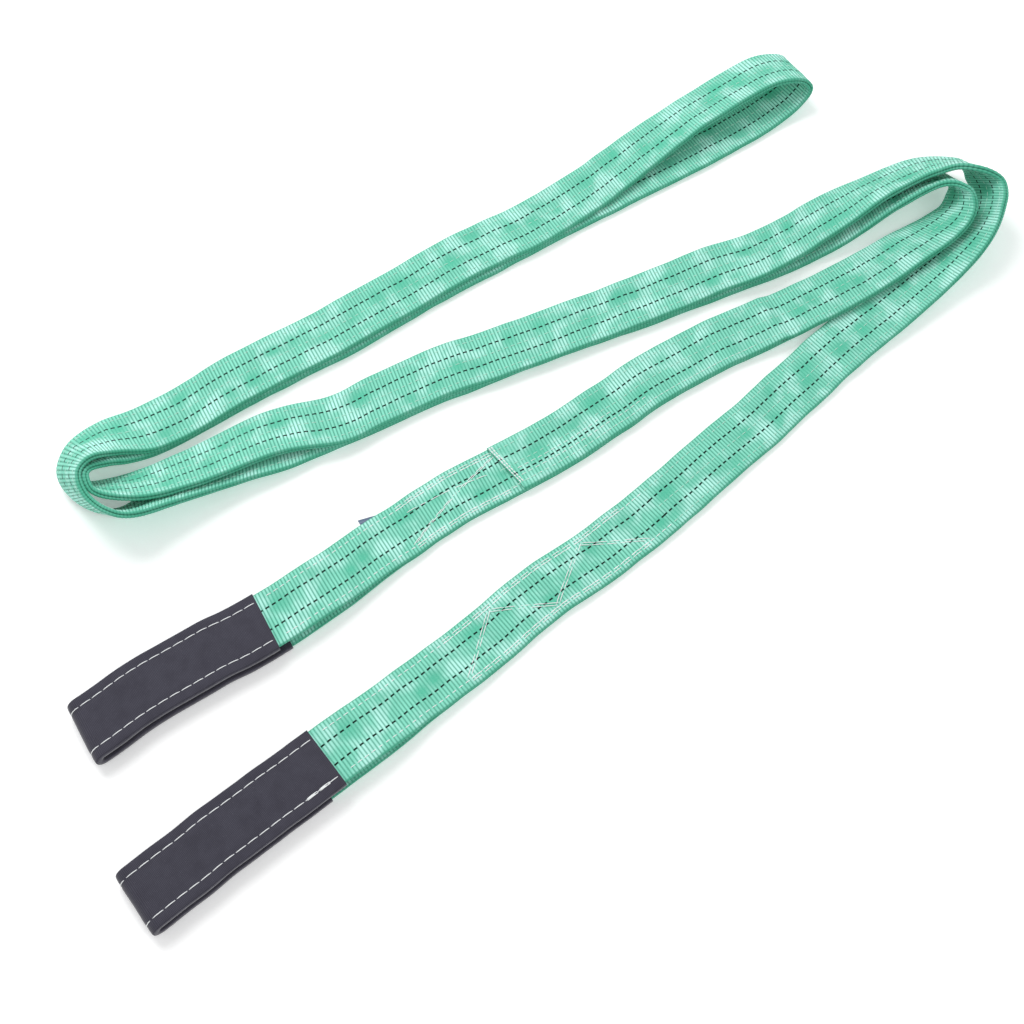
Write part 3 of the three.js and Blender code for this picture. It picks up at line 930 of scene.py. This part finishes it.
SLEEVE_THICKNESS = 0.0063
SLEEVE_HOLLOW = 0.0047                 # between the insides of the two walls
SLEEVE_WALL = 0.0009                   # at its folded edges
SLEEVE_OFFSET = -0.00075               # the sleeve reaches further into the eye than out of it
SLEEVE_ROW_SIDE = SLEEVE_WIDTH / 2 - 0.0095
SLEEVE_STEP = 0.0015
SLEEVE_COLUMNS = 44
MOUTH_MARGIN = 0.002
BACK_TACK = (0.010, 0.036)             # the doubled stitches near a mouth
BACK_TACK_SPREAD = 0.0007
SLEEVE_SLACK = ((0.0005, 0.030, 0.022, 31), (0.00025, 0.011, 0.013, 32))
SLEEVE_SLACK_BASE = 0.0007
SLEEVE_B_CREASE = (0.464, 0.44, 0.0020)    # place along the loop, lean and depth
CREASE_MIDDLE = 0.004
CREASE_HALF_WIDTH = 0.014
CREASE_GROOVE = 0.0030
CREASE_RIDGE = 0.0036
CREASE_RIDGE_OFFSET = 0.0065
ROW_GROOVE = 0.002                     # each row of stitches pulls a groove this wide each way
ROW_GROOVE_DEPTH = 0.0005


def bell(offset, half_width):
    return np.exp(-((offset / half_width) ** 2))


def signed_power(values, power):
    return np.sign(values) * np.abs(values) ** power


def sleeve_section(width, thickness):
    """Side and height round a soft flat tube, fuller near its two folded edges."""
    angle = np.linspace(0, 2 * math.pi, SLEEVE_COLUMNS, endpoint=False)
    side = width / 2 * signed_power(np.cos(angle), 0.62)
    height = thickness / 2 * signed_power(np.sin(angle), 0.16)
    return side, height


def sleeve_relief(distance, side, creases):
    """Slack and creases in the sleeve's cloth."""
    height = waves(distance, side, SLEEVE_SLACK) + SLEEVE_SLACK_BASE
    for at, lean, depth in creases:
        off = distance - at - lean * side
        middle_only = np.exp(-(((side - CREASE_MIDDLE) / CREASE_HALF_WIDTH) ** 4))
        height = height - depth * middle_only * bell(off, CREASE_GROOVE)
        for ridge in (-CREASE_RIDGE_OFFSET, CREASE_RIDGE_OFFSET):
            height = height + depth * middle_only * bell(off - ridge, CREASE_RIDGE)
    rows = bell(np.abs(side) - SLEEVE_ROW_SIDE, ROW_GROOVE)
    return np.maximum(height - ROW_GROOVE_DEPTH * rows, 0)


def sleeve_wall(ribbon, distance, width, thickness, creases):
    """Points of one wall surface of the sleeve, one ring of points at each distance."""
    side, height = sleeve_section(width, thickness)
    relief = sleeve_relief(distance, side[None], creases)
    push = np.abs(height) / (thickness / 2)
    raised = height + np.sign(height) * relief * push
    return ribbon.place(
        np.broadcast_to(distance, relief.shape), np.broadcast_to(side, relief.shape),
        raised + SLEEVE_OFFSET)


def sleeve_quads(count, flip):
    """Quads of the outer wall, the inner wall and the rims that join them at both mouths."""
    inner_start = count * SLEEVE_COLUMNS
    outside = ring_quads(count, SLEEVE_COLUMNS, flip)
    inside = ring_quads(count, SLEEVE_COLUMNS, not flip) + inner_start
    j = np.arange(SLEEVE_COLUMNS)
    k = (j + 1) % SLEEVE_COLUMNS
    mouth = np.stack([k, j, j + inner_start, k + inner_start], -1)
    last_ring = (count - 1) * SLEEVE_COLUMNS
    rims = np.vstack([mouth, mouth[:, [1, 0, 3, 2]] + last_ring])
    return np.vstack([outside, inside, rims[:, ::-1] if flip else rims])


def sleeve_rows(end, start, stop):
    """The stitched lines of a sleeve: one near each edge, and back-tacks on eye B."""
    rows = [
        [(start + MOUTH_MARGIN, side), (stop - MOUTH_MARGIN, side)]
        for side in (-SLEEVE_ROW_SIDE, SLEEVE_ROW_SIDE)
    ]
    if end == "a":
        return rows
    tack_start, tack_end = BACK_TACK
    for first, last, middle in (
            (start + tack_start, start + tack_end, SLEEVE_ROW_SIDE),
            (stop - tack_end, stop - tack_start, -SLEEVE_ROW_SIDE)):
        for side in (middle - BACK_TACK_SPREAD, middle + BACK_TACK_SPREAD):
            rows.append([(first, side), (last, side)])
    return rows


def build_sleeve(end, ribbon, cloth, thread, creases):
    upper, lower = SLEEVE_REACH[end]
    middle = ribbon.total / 2
    start = middle - EYE_TURN - upper
    stop = middle + EYE_TURN + lower
    count = int((stop - start) / SLEEVE_STEP)
    distance = np.linspace(start, stop, count)[:, None]
    outer = sleeve_wall(ribbon, distance, SLEEVE_WIDTH, SLEEVE_THICKNESS, creases)
    inner = sleeve_wall(
        ribbon, distance, SLEEVE_WIDTH - 2 * SLEEVE_WALL, SLEEVE_HOLLOW, creases)
    points = np.concatenate([outer.reshape(-1, 3), inner.reshape(-1, 3)])
    quads = sleeve_quads(count, flip=points_out(ribbon, start, stop))
    outer_side = sleeve_section(SLEEVE_WIDTH, SLEEVE_THICKNESS)[0]
    sleeve = link_mesh(
        f"eye_{end}_sleeve_cloth", points, (quads, []), cloth,
        along=np.tile(np.repeat(distance.ravel(), SLEEVE_COLUMNS), 2),
        side=np.tile(outer_side, 2 * count))
    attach(sleeve, f"eye_{end}")
    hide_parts(f"eye_{end}_sleeve")

    def surface(distance, side):
        return SLEEVE_OFFSET + SLEEVE_THICKNESS / 2 + sleeve_relief(distance, side, creases)

    seams = stitching(f"eye_{end}_sleeve_stitches", ribbon, sleeve_rows(end, start, stop), thread,
                      stitch=0.0110, gap=0.0007, surface=surface, radius=0.00048)
    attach(seams, f"eye_{end}")
    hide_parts(f"eye_{end}_sleeve_seam_near", f"eye_{end}_sleeve_seam_far")


def bend_at_throat(piece, end):
    """Bakes the piece's placement into its mesh; the strap points on either side of the throat are
    found but not used.
    """
    from_tip = np.array([THROAT[end] + BLEND_REACH, THROAT[end] - BLEND_REACH])
    points = STRAP.at(from_tip if end == "a" else TOTAL - from_tip)[0]
    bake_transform(piece)


def eye_reach(end):
    """From the eye's tip to the groove where its legs end, in the splice."""
    if end == "a":
        return at_groove(END_LENGTH["a"])
    return TOTAL - at_groove(TOTAL - END_LENGTH["b"])


def build_lining(end, loop, web):
    half = EYE_TURN + THROAT[end] - LINING_STOP
    middle = loop.total / 2
    lining = webbing_band(
        f"eye_{end}_lining_cloth", loop.moved(-(PLY / 2 + GAP + LINING / 2)),
        middle - half, middle + half, web, width=LINING_WIDTH, thickness=LINING)
    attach(lining, f"eye_{end}")
    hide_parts(f"eye_{end}_lining")


def build_end(end, web, cloth, thread, creases):
    """One eye: its webbing, lining and sleeve, and the rows of stitches beyond the sleeve."""
    loop = eye_ribbon(end, eye_reach(end))
    middle = loop.total / 2
    upper, lower = SLEEVE_REACH[end]
    covered_start = middle - EYE_TURN - upper + COVERED_MARGIN
    covered_end = middle + EYE_TURN + lower - COVERED_MARGIN
    webbing = webbing_band(
        f"eye_{end}_webbing", loop, 0, loop.total, web, covered=(covered_start, covered_end))
    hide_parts(f"eye_{end}_web")
    bend_at_throat(webbing, end)

    build_lining(end, loop, web)
    build_sleeve(end, loop, cloth, thread, creases)

    edge_rows = []
    for side in (-STITCH_ROW_SIDE, STITCH_ROW_SIDE):
        edge_rows.append([(ROW_MARGIN, side), (middle - upper - SLEEVE_CLEARANCE, side)])
        edge_rows.append([(middle + lower + SLEEVE_CLEARANCE, side), (loop.total - ROW_MARGIN, side)])
    seams = stitching(f"eye_{end}_edge_stitches", loop, edge_rows, thread)
    bend_at_throat(seams, end)


# ---------------------------------------------------------------- the splices
SPLICE_SWING = 0.019
SPLICE_PAIR = 0.0022
SPLICE_EDGE_SIDES = (-0.0240, -0.0212, 0.0212, 0.0240)
SPLICE_THREAD = {"stitch": 0.011, "gap": 0.0005, "radius": 0.00040}
CUT_END_THREAD = {"stitch": 0.0034, "gap": 0.0003, "radius": 0.0007}
CUT_END_ROWS = (0.0015, 0.0040)        # beyond the cut end
CUT_END_SIDES = (-0.0275, 0.0215)
CUT_END_LEAN = 0.85 * LAP_SLANT
TAIL_START = 0.016
TAIL_ROWS = ((0.006, 0.130), (0.0145, 0.170), (0.0215, 0.300))    # side, and end past the cut


def splice_lines(first, last, turns):
    """Doubled diagonals that swing between the edges, and a doubled row beside each edge."""
    diagonals = [
        [
            (first + (last - first) * k / turns + shift, -SPLICE_SWING if k % 2 else SPLICE_SWING)
            for k in range(turns + 1)
        ]
        for shift in (-SPLICE_PAIR, SPLICE_PAIR)
    ]
    rows = [[(first, side), (last, side)] for side in SPLICE_EDGE_SIDES]
    return [*diagonals, *rows]


def build_hidden_lap(web):
    """The end of the webbing that lies under the face ply."""
    end = LAP_END - LAP_DROP
    under = webbing_band(
        "lap_webbing", STRAP.moved(PLY_OFFSET), at_groove(END_LENGTH["a"]), at_groove(end), web)
    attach(under, "strap")
    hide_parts("lap_ply")


def build_cut_end(thread):
    """Stitches across the webbing's cut end, and the rows that hold the lap beyond it."""
    far_side, near_side = CUT_END_SIDES
    cross = [
        [(LAP_START + row, far_side), (LAP_START + row + CUT_END_LEAN, near_side)]
        for row in CUT_END_ROWS
    ]
    end_rows = stitching("lap_end_stitches", lapped_face(), cross, thread, **CUT_END_THREAD)
    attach(end_rows, "strap")
    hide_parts("lap_end_stitch")
    tail = [
        [(LAP_START + TAIL_START, side), (LAP_START + end, side)]
        for side, end in TAIL_ROWS
    ]
    tail_rows = stitching("lap_tail_stitches", lapped_face(), tail, thread, radius=0.0003)
    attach(tail_rows, "strap")


def build_splice(end, ribbon, lines, thread):
    splice = stitching(f"splice_{end}_stitches", ribbon, lines, thread, **SPLICE_THREAD)
    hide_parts(f"splice_stitch_{end}")
    bend_at_throat(splice, end)


def build_splice_a(thread):
    lines = splice_lines(THROAT["a"] - 0.014, LAP_START + 0.002, turns=1)
    lines.append([(THROAT["a"] - 0.004, -0.013), (LAP_START - 0.012, -0.004)])
    build_splice("a", STRAP.moved(PLY_OFFSET), lines, thread)


def build_splice_b(thread):
    lines = splice_lines(TOTAL - 0.550, TOTAL - THROAT["b"] - 0.012, turns=4)
    build_splice("b", STRAP.turned().moved(PLY_OFFSET), lines, thread)


# ---------------------------------------------------------------- the label
LABEL_START = 0.302
LABEL_LENGTH = 0.026
LABEL_WIDTH = 0.050
LABEL_THICKNESS = 0.0005
LABEL_SHIFT = -0.0066                  # the label peeps out past the far edge of the webbing
LABEL_SKEW = 0.009
LABEL_ROWS = 40
LABEL_COLUMNS = 15


def build_label(satin):
    end = LABEL_START + LABEL_LENGTH
    distance = np.linspace(LABEL_START, end, LABEL_ROWS)[:, None]
    side = np.linspace(-LABEL_WIDTH / 2, LABEL_WIDTH / 2, LABEL_COLUMNS)
    ring_side = np.concatenate([side, side[::-1]])
    ring_height = np.repeat([LABEL_THICKNESS / 2, -LABEL_THICKNESS / 2], LABEL_COLUMNS)
    columns = 2 * LABEL_COLUMNS
    shape = (LABEL_ROWS, columns)
    skew = LABEL_SKEW * (LABEL_START + LABEL_LENGTH / 2 - distance) / LABEL_LENGTH
    points = STRAP.place(
        np.broadcast_to(distance, shape), ring_side + LABEL_SHIFT - skew,
        np.broadcast_to(ring_height, shape))
    flip = not points_out(STRAP, LABEL_START, end)
    caps = end_caps(LABEL_ROWS, columns, flip)
    label = link_mesh(
        "identification_label", points.reshape(-1, 3),
        (ring_quads(LABEL_ROWS, columns, flip), caps), satin,
        along=np.broadcast_to(distance, shape), side=np.broadcast_to(ring_side, shape))
    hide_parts("label")
    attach(label, "eye_a")


# ---------------------------------------------------------------- the scene
make_camera()
make_studio()
make_floor()
web = webbing_material()
sleeve_cloth = sleeve_material()
body_thread = thread_material("body_thread", srgb(196, 238, 224), srgb(150, 206, 186))
white_thread = thread_material("white_thread", srgb(252, 254, 254), srgb(222, 228, 228))
build_body(web, body_thread)
build_end("a", web, sleeve_cloth, white_thread, creases=[])
build_end("b", web, sleeve_cloth, white_thread, creases=[SLEEVE_B_CREASE])
build_hidden_lap(web)
build_splice_a(white_thread)
build_cut_end(white_thread)
build_splice_b(white_thread)
build_label(label_material())
